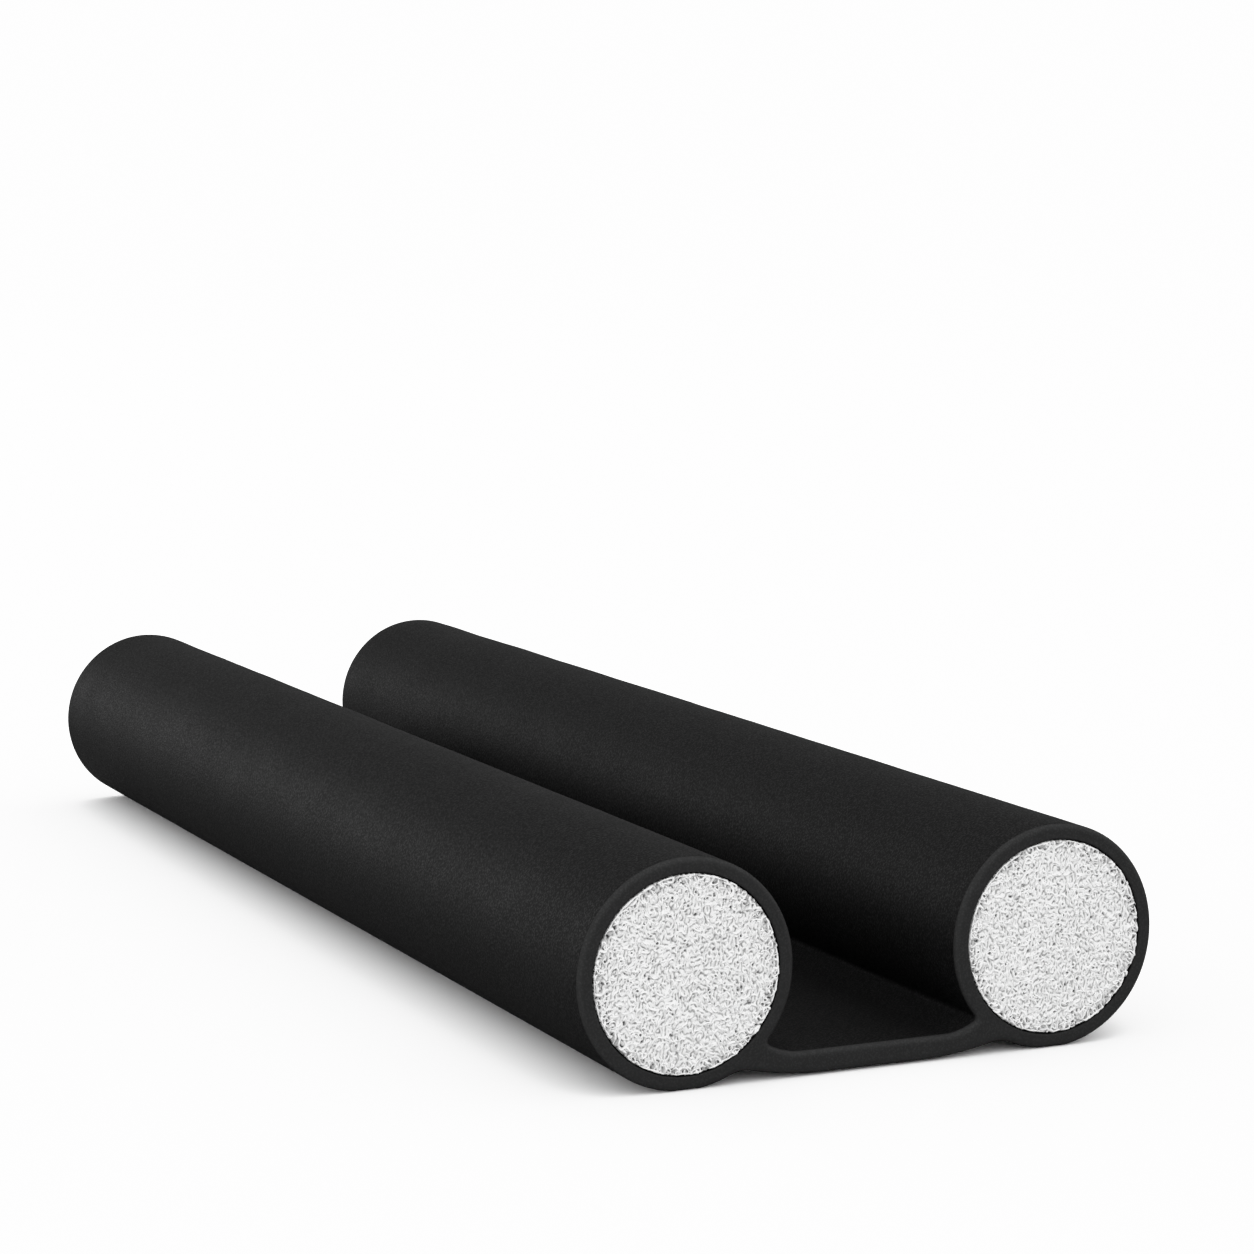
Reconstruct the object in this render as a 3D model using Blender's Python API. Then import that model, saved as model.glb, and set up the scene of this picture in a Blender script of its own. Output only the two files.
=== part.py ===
"""Twin draught excluder: a soft one-piece jacket round two foam cores.

Run it with blender --background --python part.py, or from Blender's text editor.
Metres, +Z up. +X runs along the tubes, -Y is the front tube's side, and the origin is on
the floor, midway between the tubes and midway along them.
"""

import math
from collections import namedtuple

import bmesh
import bpy

# Driving dimensions
LENGTH = 0.500  # along the tubes, end to end
CORE_RADIUS = 0.0275  # round foam core
FIT_GAP = 0.0003  # between a core and its sleeve
WALL = 0.0042  # thickness of the jacket round a core
TUBE_SPACING = 0.114  # between the two tubes' axes, which leaves a channel 50 mm wide
SQUASH = 0.0003  # how far each tube's own weight flattens it on the floor
WEB_THICKNESS = 0.0066  # the strip between the tubes
WEB_LIFT = 0.0005  # gap left between the strip's middle and the floor
RIM_ROUND = 0.0018  # rounding of the jacket's outer edges at both ends
MOUTH_ROUND = 0.0005  # rounding of each sleeve's inner edge at both ends
CORE_RECESS = 0.0004  # how far a core's cut face sits inside the jacket's end

# Curves where the web runs into a tube
DISH_START = 0.022  # distance from the middle at which the web's top begins to rise
DISH_RADIUS = 0.0195  # that gentle rise
NOTCH_RADIUS = 0.0013  # tight inner corner between the web's top and a tube
ARCH_RADIUS = 0.012  # hollow under the web, beside a tube
ARCH_HEIGHT = 0.0033  # height of that hollow's crown above the floor
BELLY_RADIUS = 0.104  # easy curve from the hollow down to the web's flat underside

# Fineness of the curves
BORE_SIDES = 72
TUBE_STEPS = 66  # along a tube's outside, without its flat
SMALL_STEPS = 8  # along each short curve
RIM_STEPS = 3
SPANS = 8  # lengthwise divisions between the two rims

# Worked out from the sizes above
BORE_RADIUS = CORE_RADIUS + FIT_GAP
TUBE_RADIUS = BORE_RADIUS + WALL
AXIS_Y = TUBE_SPACING / 2
AXIS_Z = TUBE_RADIUS - SQUASH
WEB_TOP = WEB_LIFT + WEB_THICKNESS
CORE_LENGTH = LENGTH - 2 * CORE_RECESS

# A hollow arc has the jacket's material outside it, and a full one has it inside.
Arc = namedtuple("Arc", "y z radius start end hollow steps")


def angle_to(from_point, to_point):
    """Angle in degrees of the line from one (y, z) point to another."""
    return math.degrees(math.atan2(to_point[1] - from_point[1], to_point[0] - from_point[0]))


def circles_meet(first, first_reach, second, second_reach):
    """The lower of the two points that lie at the given distances from two centres."""
    across = second[0] - first[0]
    up = second[1] - first[1]
    apart = math.hypot(across, up)
    along = (first_reach**2 - second_reach**2 + apart**2) / (2 * apart)
    aside = math.sqrt(first_reach**2 - along**2)
    return (
        first[0] + (along * across + aside * up) / apart,
        first[1] + (along * up - aside * across) / apart,
    )


def half_section_arcs(inset):
    """The arcs of the +Y half of the jacket's outline, from the web's underside round the
    tube to the web's top. Neighbours are tangent, so an inset changes only their radii."""
    tube = (AXIS_Y, AXIS_Z)
    arch_z = ARCH_HEIGHT - ARCH_RADIUS
    arch_reach = TUBE_RADIUS + ARCH_RADIUS
    arch = (AXIS_Y - math.sqrt(arch_reach**2 - (AXIS_Z - arch_z) ** 2), arch_z)
    belly_z = WEB_LIFT + BELLY_RADIUS
    belly_reach = BELLY_RADIUS + ARCH_RADIUS
    belly = (arch[0] - math.sqrt(belly_reach**2 - (belly_z - arch_z) ** 2), belly_z)
    dish = (DISH_START, WEB_TOP + DISH_RADIUS)
    notch = circles_meet(dish, DISH_RADIUS - NOTCH_RADIUS, tube, TUBE_RADIUS + NOTCH_RADIUS)

    belly_end = angle_to(belly, arch)
    arch_end = angle_to(arch, tube)
    tube_start = arch_end - 180
    notch_start = angle_to(notch, tube)
    notch_end = angle_to(dish, notch)
    half_flat = math.degrees(math.acos((AXIS_Z - inset) / (TUBE_RADIUS - inset)))
    return [
        Arc(*belly, BELLY_RADIUS, -90, belly_end, False, SMALL_STEPS),
        Arc(*arch, ARCH_RADIUS, belly_end + 180, arch_end, True, SMALL_STEPS),
        Arc(*tube, TUBE_RADIUS, tube_start, -90 - half_flat, False, SMALL_STEPS),
        Arc(*tube, TUBE_RADIUS, half_flat - 90, notch_start + 180, False, TUBE_STEPS),
        Arc(*notch, NOTCH_RADIUS, notch_start, notch_end, True, SMALL_STEPS),
        Arc(*dish, DISH_RADIUS, notch_end, -90, True, SMALL_STEPS),
    ]


def arc_points(arc, inset):
    """Points along an arc that is moved into the material by inset."""
    radius = arc.radius + inset if arc.hollow else arc.radius - inset
    points = []
    for step in range(arc.steps + 1):
        angle = math.radians(arc.start + (arc.end - arc.start) * step / arc.steps)
        points.append((arc.y + radius * math.cos(angle), arc.z + radius * math.sin(angle)))
    return points


def section_outline(inset):
    """The jacket's whole outline as (y, z) points, seen from +X, anticlockwise."""
    half = []
    for arc in half_section_arcs(inset):
        for point in arc_points(arc, inset):
            if not half or math.dist(half[-1], point) > 1e-6:
                half.append(point)
    return half + [(-y, z) for y, z in reversed(half)]


def circle_outline(centre_y, centre_z, radius):
    """A sleeve's or core's round section as (y, z) points."""
    turn = 2 * math.pi / BORE_SIDES
    return [
        (centre_y + radius * math.cos(turn * i), centre_z + radius * math.sin(turn * i))
        for i in range(BORE_SIDES)
    ]


def rounded_end(radius, steps):
    """(distance from the end, inset) pairs for an edge rounding, from the end face inwards."""
    turns = [math.pi / 2 * step / steps for step in range(steps + 1)]
    return [(radius * (1 - math.sin(t)), radius * (1 - math.cos(t))) for t in reversed(turns)]


def stations(radius, steps, spans):
    """(x, inset) pairs from the -X end to the +X end."""
    rim = rounded_end(radius, steps)
    inner = LENGTH / 2 - radius
    left = [(-LENGTH / 2 + away, inset) for away, inset in rim]
    middle = [(-inner + 2 * inner * span / spans, 0.0) for span in range(1, spans)]
    right = [(LENGTH / 2 - away, inset) for away, inset in reversed(rim)]
    return left + middle + right


def add_ring(mesh, x, outline):
    """One closed loop of vertices across the part."""
    return [mesh.verts.new((x, y, z)) for y, z in outline]


def join_rings(mesh, rings):
    """Quads between each ring and the next."""
    for ring, following in zip(rings, rings[1:]):
        for i, vertex in enumerate(ring):
            after = (i + 1) % len(ring)
            mesh.faces.new((vertex, ring[after], following[after], following[i]))


def ring_edges(mesh, ring):
    """The edges round a ring."""
    return [mesh.edges.get((ring[i - 1], vertex)) for i, vertex in enumerate(ring)]


def plain_material(name, colour, roughness):
    """A Principled material with one colour and no metal."""
    material = bpy.data.materials.new(name)
    material.use_nodes = True
    shader = material.node_tree.nodes["Principled BSDF"]
    shader.inputs["Base Color"].default_value = (*colour, 1)
    shader.inputs["Roughness"].default_value = roughness
    shader.inputs["Metallic"].default_value = 0
    return material


def add_object(name, mesh, material):
    """Turns a bmesh into a smooth-shaded object with crisp edges."""
    bmesh.ops.recalc_face_normals(mesh, faces=mesh.faces[:])
    data = bpy.data.meshes.new(name)
    mesh.to_mesh(data)
    mesh.free()
    data.materials.append(material)
    data.shade_smooth()
    data.set_sharp_from_angle(angle=math.radians(35))
    part = bpy.data.objects.new(name, data)
    bpy.context.scene.collection.objects.link(part)
    return part


def make_jacket(material):
    """The two sleeves and the web between them, in one piece with an open bore in each."""
    mesh = bmesh.new()
    skins = [
        [add_ring(mesh, x, section_outline(inset)) for x, inset in stations(RIM_ROUND, RIM_STEPS, SPANS)]
    ]
    for side in (-1, 1):
        skins.append(
            [
                add_ring(mesh, x, circle_outline(side * AXIS_Y, AXIS_Z, BORE_RADIUS + inset))
                for x, inset in stations(MOUTH_ROUND, 1, SPANS)
            ]
        )
    for rings in skins:
        join_rings(mesh, rings)
    for end in (0, -1):
        rim = [edge for rings in skins for edge in ring_edges(mesh, rings[end])]
        bmesh.ops.triangle_fill(mesh, edges=rim, use_beauty=True)
    return add_object("jacket", mesh, material)


def make_core(name, side, material):
    """One round foam core, cut square at both ends. Its origin is at its own middle."""
    mesh = bmesh.new()
    rings = [add_ring(mesh, end * CORE_LENGTH / 2, circle_outline(0, 0, CORE_RADIUS)) for end in (-1, 1)]
    join_rings(mesh, rings)
    for ring in rings:
        mesh.faces.new(ring)
    core = add_object(name, mesh, material)
    core.location = (0, side * AXIS_Y, AXIS_Z)
    return core


def main():
    """Clears the scene and builds the three pieces."""
    for old in list(bpy.data.objects):
        bpy.data.objects.remove(old)
    jacket_cloth = plain_material("jacket_cloth", (0.017, 0.017, 0.018), 0.62)
    white_foam = plain_material("white_foam", (0.80, 0.81, 0.82), 0.75)
    make_jacket(jacket_cloth)
    make_core("core_front", -1, white_foam)
    make_core("core_back", 1, white_foam)


if __name__ == "__main__":
    main()
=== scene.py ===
"""Twin draught excluder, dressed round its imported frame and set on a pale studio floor.

Metres, +Z up. +X runs along the tubes towards the end that the camera sees, -Y is the front
tube's side, and the origin is on the floor, midway between the two tubes.
"""

import logging
import math
from dataclasses import dataclass
from enum import Enum

import bmesh
import bpy
import numpy as np
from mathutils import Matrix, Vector


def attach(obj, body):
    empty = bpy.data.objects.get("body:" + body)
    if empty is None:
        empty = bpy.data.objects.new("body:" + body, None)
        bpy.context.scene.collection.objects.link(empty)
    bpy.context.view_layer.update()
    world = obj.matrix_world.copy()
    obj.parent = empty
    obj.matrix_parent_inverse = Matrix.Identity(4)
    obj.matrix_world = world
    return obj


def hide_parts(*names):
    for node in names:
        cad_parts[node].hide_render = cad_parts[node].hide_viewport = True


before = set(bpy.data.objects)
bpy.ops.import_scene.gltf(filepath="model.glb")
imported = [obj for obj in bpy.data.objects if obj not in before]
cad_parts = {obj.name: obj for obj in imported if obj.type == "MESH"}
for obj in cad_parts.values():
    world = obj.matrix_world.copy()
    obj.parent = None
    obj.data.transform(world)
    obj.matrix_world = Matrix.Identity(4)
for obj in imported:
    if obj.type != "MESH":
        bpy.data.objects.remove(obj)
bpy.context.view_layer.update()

BODY = "root"
MILLIMETRE = 0.001
TURN = 2.0 * math.pi
SAME_PLACE = 1e-6
LEAST_ARC_STEPS = 8
Faces = list[tuple[int, ...]]
Pair = tuple[float, float]
Triple = tuple[float, float, float]
Rows = np.ndarray
Socket = bpy.types.NodeSocket
Material = bpy.types.Material
Piece = bpy.types.Object
log = logging.getLogger("draught_excluder")


class Slot(Enum):
    """The record's material slots."""

    JACKET = "jacket_cloth"
    FOAM = "white_foam"


class Side(Enum):
    """The two tubes, by the sign of their Y."""

    FRONT = -1
    BACK = 1


class End(Enum):
    """The two cut ends, by the sign of their X."""

    FAR = -1
    NEAR = 1


def smooth_step(value: Rows, low: float, high: float) -> Rows:
    """Rises smoothly from 0 at low to 1 at high."""
    t = np.clip((value - low) / (high - low), 0.0, 1.0)
    return t * t * (3.0 - 2.0 * t)


def polar(far: Rows | float, turn: Rows) -> Rows:
    """Gives rows of two coordinates for distances and angles from a middle."""
    return np.column_stack((far * np.cos(turn), far * np.sin(turn)))


def at_x(x: float, rows: Rows) -> Rows:
    """Puts one x before each row."""
    return np.column_stack((np.full(len(rows), x), rows))


def loop(first: int, size: int) -> list[tuple[int, int]]:
    """Pairs each vertex of a closed loop of consecutive vertices with the next."""
    return [(first + i, first + (i + 1) % size) for i in range(size)]


def bands(starts: range | list[int], size: int) -> Faces:
    """Makes the faces from each loop of vertices to the next, given the loops' first numbers."""
    steps = [(low, high - low) for low, high in zip(starts, starts[1:])]
    return [(a, b, b + rise, a + rise) for low, rise in steps for a, b in loop(low, size)]


def seed_of(seeds: tuple[int, int, int], side: Side, end: End) -> int:
    """Works out an end's own seed from a base and a step for its side and its end."""
    base, by_side, by_end = seeds
    return base + by_side * side.value + by_end * end.value


def add_object(name: str, data: bpy.types.ID) -> Piece:
    """Makes an object of some data and links it to the scene.

    Args:
        name: The object's name.
        data: Its mesh, light or camera.

    Returns:
        The new object.
    """
    piece = bpy.data.objects.new(name, data)
    bpy.context.scene.collection.objects.link(piece)
    return piece


def new_object(name: str, points: Rows, faces: Faces) -> Piece:
    """Makes a smooth-shaded mesh object.

    Args:
        name: The object's name.
        points: Vertex positions, one row each.
        faces: Vertex numbers of each face, anticlockwise from outside.

    Returns:
        The new object.
    """
    mesh = bpy.data.meshes.new(name)
    mesh.from_pydata(points.tolist(), [], faces)
    mesh.shade_smooth()
    mesh.update()
    return add_object(name, mesh)


@dataclass(frozen=True)
class Waves:
    """A smooth random field over a plane, made of many cosine waves of about one length."""

    seed: int
    length: float
    spread: float = 0.18
    count: int = 48

    def sample(self, points: Rows) -> tuple[Rows, Rows]:
        """Reads the field at points of the plane.

        Args:
            points: Rows of two coordinates, in the unit of length.

        Returns:
            The values, which spread about 1 either side of 0, and the field's slope there.
        """
        rng = np.random.default_rng(self.seed)
        turn = rng.uniform(0.0, TURN, self.count)
        size = TURN / (self.length * np.exp(rng.normal(0.0, self.spread, self.count)))
        shift = rng.uniform(0.0, TURN, self.count)
        across = size * np.cos(turn)
        up = size * np.sin(turn)
        phase = np.outer(points[:, 0], across) + np.outer(points[:, 1], up) + shift
        scale = math.sqrt(2.0 / self.count)
        sines = np.sin(phase)
        slope = np.hypot(sines @ across, sines @ up) * scale
        return np.cos(phase).sum(axis=1) * scale, slope


class ShaderTree:
    """Adds and joins nodes of one shader tree."""

    def __init__(self, tree: bpy.types.NodeTree) -> None:
        """Keeps the tree to work on."""
        self.tree = tree
        self.nodes = tree.nodes

    def add(self, kind: str, given: dict | None = None, **settings: object) -> bpy.types.Node:
        """Adds a node.

        Args:
            kind: The node's Blender type name.
            given: What its inputs get, by name: a socket, or a plain value.
            **settings: Values of the node's own properties.

        Returns:
            The new node.
        """
        node = self.nodes.new(kind)
        for name, value in settings.items():
            setattr(node, name, value)
        for name, value in (given or {}).items():
            self.feed(node.inputs[name], value)
        return node

    def feed(self, socket: Socket, value: object) -> None:
        """Links an input to another node's output, or sets it to a plain value.

        Args:
            socket: The input.
            value: The output or the value.
        """
        if isinstance(value, Socket):
            self.tree.links.new(value, socket)
        else:
            socket.default_value = value

    def sum_up(self, operation: str, first: object, second: object) -> Socket:
        """Adds a math node.

        Args:
            operation: The node's operation, such as MULTIPLY.
            first: A socket or a number.
            second: A socket or a number.

        Returns:
            The node's output.
        """
        node = self.add("ShaderNodeMath", operation=operation)
        for socket, value in zip(node.inputs, (first, second)):
            self.feed(socket, value)
        return node.outputs[0]

    def scaled(self, vector: object, factor: object) -> Socket:
        """Scales a vector or a colour by a factor; each is a socket or a plain value."""
        given = {"Vector": vector, "Scale": factor}
        return self.add("ShaderNodeVectorMath", given, operation="SCALE").outputs["Vector"]


@dataclass
class SharedEffects:
    """The shader node groups that more than one material uses."""

    pebble_smoothness: float = 0.6
    pebble_share: float = 0.5
    crease_scale: float = 1.3
    crease_detail: float = 2.0
    crease_roughness: float = 0.6
    crease_share: float = 0.6
    hollow_heights: Pair = (0.74, 0.50)
    patch_detail: float = 4.0
    patch_roughness: float = 0.55

    def __post_init__(self) -> None:
        """Builds each group once."""
        self.grain = self.build_grain()
        self.mottle = self.build_mottle()

    @staticmethod
    def start(name: str, inputs: list[str], outputs: list[str]) -> tuple[ShaderTree, dict, dict]:
        """Makes a group with float sockets.

        Args:
            name: The group's name.
            inputs: Names of its inputs.
            outputs: Names of its outputs.

        Returns:
            The tree, its input sockets by name and its output sockets by name.
        """
        group = bpy.data.node_groups.new(name, "ShaderNodeTree")
        for names, way in ((inputs, "INPUT"), (outputs, "OUTPUT")):
            for socket in names:
                group.interface.new_socket(socket, in_out=way, socket_type="NodeSocketFloat")
        tree = ShaderTree(group)
        source = tree.add("NodeGroupInput")
        target = tree.add("NodeGroupOutput")
        given = {socket: source.outputs[socket] for socket in inputs}
        wanted = {socket: target.inputs[socket] for socket in outputs}
        return tree, given, wanted

    @staticmethod
    def place(tree: ShaderTree, size: Socket) -> Socket:
        """Gives the place on the object in units of a size in millimetres."""
        where = tree.add("ShaderNodeTexCoord").outputs["Object"]
        return tree.scaled(where, tree.sum_up("DIVIDE", 1.0 / MILLIMETRE, size))

    def build_grain(self) -> bpy.types.NodeTree:
        """Builds the pebbled grain.

        Returns:
            The group, which gives a height from 0 to 1 and a mask of its hollows.
        """
        tree, given, wanted = self.start("pebble_grain", ["Size"], ["Height", "Hollows"])
        place = self.place(tree, given["Size"])
        look = {"Vector": place, "Scale": 1.0, "Smoothness": self.pebble_smoothness, "Randomness": 1.0}
        pebbles = tree.add("ShaderNodeTexVoronoi", look, feature="SMOOTH_F1")
        look = {
            "Vector": place,
            "Scale": self.crease_scale,
            "Detail": self.crease_detail,
            "Roughness": self.crease_roughness,
        }
        creases = tree.add("ShaderNodeTexNoise", look)
        rounded = tree.sum_up("SUBTRACT", 1.0, pebbles.outputs["Distance"])
        height = tree.sum_up(
            "ADD",
            tree.sum_up("MULTIPLY", rounded, self.pebble_share),
            tree.sum_up("MULTIPLY", creases.outputs["Fac"], self.crease_share),
        )
        tree.feed(wanted["Height"], height)
        dry, deep = self.hollow_heights
        look = {"Value": height, "From Min": dry, "From Max": deep}
        hollows = tree.add("ShaderNodeMapRange", look, interpolation_type="SMOOTHSTEP")
        tree.feed(wanted["Hollows"], hollows.outputs["Result"])
        return tree.tree

    def build_mottle(self) -> bpy.types.NodeTree:
        """Builds soft patches.

        Returns:
            The group, which gives a value that wanders about 1 by the strength.
        """
        tree, given, wanted = self.start("soft_mottle", ["Size", "Strength"], ["Value"])
        look = {
            "Vector": self.place(tree, given["Size"]),
            "Scale": 1.0,
            "Detail": self.patch_detail,
            "Roughness": self.patch_roughness,
        }
        patches = tree.add("ShaderNodeTexNoise", look)
        centred = tree.sum_up("SUBTRACT", patches.outputs["Fac"], 0.5)
        spread = tree.sum_up("MULTIPLY", tree.sum_up("MULTIPLY", centred, 2.0), given["Strength"])
        tree.feed(wanted["Value"], tree.sum_up("ADD", spread, 1.0))
        return tree.tree


@dataclass(frozen=True)
class Finish:
    """A surface's colour, gloss, grain, mottle and painted highlight on rounded rims, with its sizes
    in mm.
    """

    name: str
    colour: Triple
    roughness: float
    specular: float
    grain_size: float
    grain_depth: float
    mottle_size: float
    mottle_strength: float
    hollow_shade: float
    hollow_dullness: float
    painted_rim_highlight: float = 0.0

    def shader(self, effects: SharedEffects) -> tuple[Material, ShaderTree]:
        """Makes the material, with grain in its normal and mottle in its colour.

        Args:
            effects: The shared node groups.

        Returns:
            The material and its tree, whose colour is still to be joined.
        """
        material = bpy.data.materials.new(self.name)
        material.use_nodes = True
        tree = ShaderTree(material.node_tree)
        surface = material.node_tree.nodes["Principled BSDF"]
        surface.inputs["Metallic"].default_value = 0.0
        surface.inputs["Specular IOR Level"].default_value = self.specular
        size = {"Size": self.grain_size}
        grain = tree.add("ShaderNodeGroup", size, node_tree=effects.grain, name="grain")
        relief = {"Distance": self.grain_depth * MILLIMETRE, "Height": grain.outputs["Height"]}
        bump = tree.add("ShaderNodeBump", {"Strength": 1.0, **relief}, name="grain_bump")
        tree.feed(surface.inputs["Normal"], bump.outputs["Normal"])
        patches = {"Size": self.mottle_size, "Strength": self.mottle_strength}
        mottle = tree.add("ShaderNodeGroup", patches, node_tree=effects.mottle, name="mottle")
        rough = tree.sum_up("MULTIPLY", mottle.outputs["Value"], self.roughness)
        dull = tree.sum_up("MULTIPLY", grain.outputs["Hollows"], self.hollow_dullness)
        tree.feed(surface.inputs["Roughness"], tree.sum_up("ADD", rough, dull))
        return material, tree

    def shade(self, tree: ShaderTree) -> Socket:
        """Works out the brightness factor of the grain, the mottle and the painted highlight on the
        rims.

        Args:
            tree: The material's tree.

        Returns:
            The factor's socket.
        """
        hollows = tree.nodes["grain"].outputs["Hollows"]
        lit = tree.sum_up("SUBTRACT", 1.0, tree.sum_up("MULTIPLY", hollows, self.hollow_shade))
        lit = tree.sum_up("MULTIPLY", lit, tree.nodes["mottle"].outputs["Value"])
        # Painted highlight: the rounded rims of the cut ends are lightened in the colour.
        edge = tree.add("ShaderNodeAttribute", attribute_name="painted_rim_highlight")
        painted_highlight = tree.sum_up("MULTIPLY", edge.outputs["Fac"], self.painted_rim_highlight)
        return tree.sum_up("MULTIPLY", lit, tree.sum_up("ADD", painted_highlight, 1.0))

    def build(self, effects: SharedEffects) -> Material:
        """Makes the finished material of one colour with grain and mottle.

        Args:
            effects: The shared node groups.

        Returns:
            The material.
        """
        material, tree = self.shader(effects)
        base = tree.nodes["Principled BSDF"].inputs["Base Color"]
        tree.feed(base, tree.scaled(self.colour, self.shade(tree)))
        return material


@dataclass(frozen=True)
class FoamFinish(Finish):
    """White foam strands that the mesh marks, with painted shade that greys the foam between them, on
    their flanks and in the pits.
    """

    flank_shade: float = 0.55
    recess_shade: Triple = (0.55, 0.55, 0.55)
    pit_shade: Triple = (0.045, 0.045, 0.045)
    recess_stop: float = 0.48
    crest_stop: float = 0.78
    depths: Pair = (-0.75, 0.3)
    relief_strength: float = 0.2
    floor_crest: float = 0.5
    strand_side: float = 0.999

    def build(self, effects: SharedEffects) -> Material:
        """Makes the foam material, white on its strands, with painted shade that greys it between
        them.

        Args:
            effects: The shared node groups.

        Returns:
            The material.
        """
        material, tree = self.shader(effects)
        height, crest = self.strands(tree)
        relief = {"Strength": self.relief_strength, "Distance": MILLIMETRE, "Height": height}
        carved = tree.add("ShaderNodeBump", relief)
        tree.feed(tree.nodes["grain_bump"].inputs["Normal"], carved.outputs["Normal"])
        # Painted shade: the deeper the foam lies below its crests, the darker its colour, grey in the
        # recesses and near black in the pits, at the edge and on the core's side.
        lowest, highest = self.depths
        span = {"Value": height, "From Min": lowest, "From Max": highest}
        depth = tree.add("ShaderNodeMapRange", span)
        ramp = tree.add("ShaderNodeValToRGB", {"Fac": depth.outputs["Result"]})
        stops = ramp.color_ramp.elements
        stops[0].color = (*self.pit_shade, 1.0)
        stops[1].position = self.crest_stop
        stops[1].color = (*self.colour, 1.0)
        stops.new(self.recess_stop).color = (*self.recess_shade, 1.0)
        # Painted shade: each strand darkens from its crest towards its flanks.
        rise = tree.sum_up("MULTIPLY", crest, 1.0 - self.flank_shade)
        lit = tree.sum_up("MULTIPLY", self.shade(tree), tree.sum_up("ADD", rise, self.flank_shade))
        base = tree.nodes["Principled BSDF"].inputs["Base Color"]
        tree.feed(base, tree.scaled(ramp.outputs["Color"], lit))
        return material

    def strands(self, tree: ShaderTree) -> tuple[Socket, Socket]:
        """Finds the topmost strand from the distances and lifts that the mesh carries.

        Args:
            tree: The material's tree.

        Returns:
            The height in millimetres, and how near the strand's crest it is, from 0 to 1.
        """
        height = tree.add("ShaderNodeAttribute", attribute_name="floor").outputs["Fac"]
        crest: object = self.floor_crest
        for layer in STRANDS:
            mark = tree.add("ShaderNodeAttribute", attribute_name=layer.mark)
            parts = tree.add("ShaderNodeSeparateXYZ", {"Vector": mark.outputs["Vector"]})
            away = tree.sum_up("DIVIDE", parts.outputs["X"], layer.half_width)
            away = tree.sum_up("MINIMUM", tree.sum_up("ABSOLUTE", away, 0.0), 1.0)
            across = tree.sum_up("SUBTRACT", 1.0, away) if layer.side_by_side else away
            flat = tree.sum_up("SUBTRACT", 1.0, tree.sum_up("MULTIPLY", across, across))
            profile = tree.sum_up("SQRT", flat, 0.0)
            if layer.side_by_side:
                seam = tree.sum_up("SUBTRACT", 1.0, profile)
                lift = tree.sum_up("MULTIPLY", parts.outputs["Y"], seam)
            else:
                beside = tree.sum_up("GREATER_THAN", away, self.strand_side)
                drop = tree.sum_up("MULTIPLY", beside, FAR_BELOW)
                lift = tree.sum_up("SUBTRACT", parts.outputs["Y"], drop)
            top = tree.sum_up("ADD", tree.sum_up("MULTIPLY", profile, layer.crest), lift)
            above = tree.sum_up("GREATER_THAN", top, height)
            change = tree.sum_up("MULTIPLY", tree.sum_up("SUBTRACT", flat, crest), above)
            crest = tree.sum_up("ADD", crest, change)
            height = tree.sum_up("MAXIMUM", top, height)
        fall = tree.add("ShaderNodeAttribute", attribute_name="edge_fall")
        return tree.sum_up("SUBTRACT", height, fall.outputs["Fac"]), crest


@dataclass(frozen=True)
class Arc:
    """One arc of the jacket's section, in the YZ plane, with its angles in degrees."""

    y: float
    z: float
    radius: float
    start: float
    end: float
    hollow: bool

    def points(self, inset: float, spacing: float) -> list[tuple[float, float, float, float]]:
        """Walks along the arc.

        Args:
            inset: How far the arc is moved into the material.
            spacing: About how far apart the points are before the inset.

        Returns:
            For each point its y and z, and the outward direction's y and z.
        """
        radius = self.radius + inset if self.hollow else self.radius - inset
        sweep = math.radians(self.end - self.start)
        steps = max(LEAST_ARC_STEPS, math.ceil(abs(sweep) * self.radius / spacing))
        outward = -1.0 if self.hollow else 1.0
        walk = []
        for step in range(steps + 1):
            angle = math.radians(self.start) + sweep * step / steps
            across, up = math.cos(angle), math.sin(angle)
            walk.append(
                (self.y + radius * across, self.z + radius * up, outward * across, outward * up)
            )
        return walk


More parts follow.
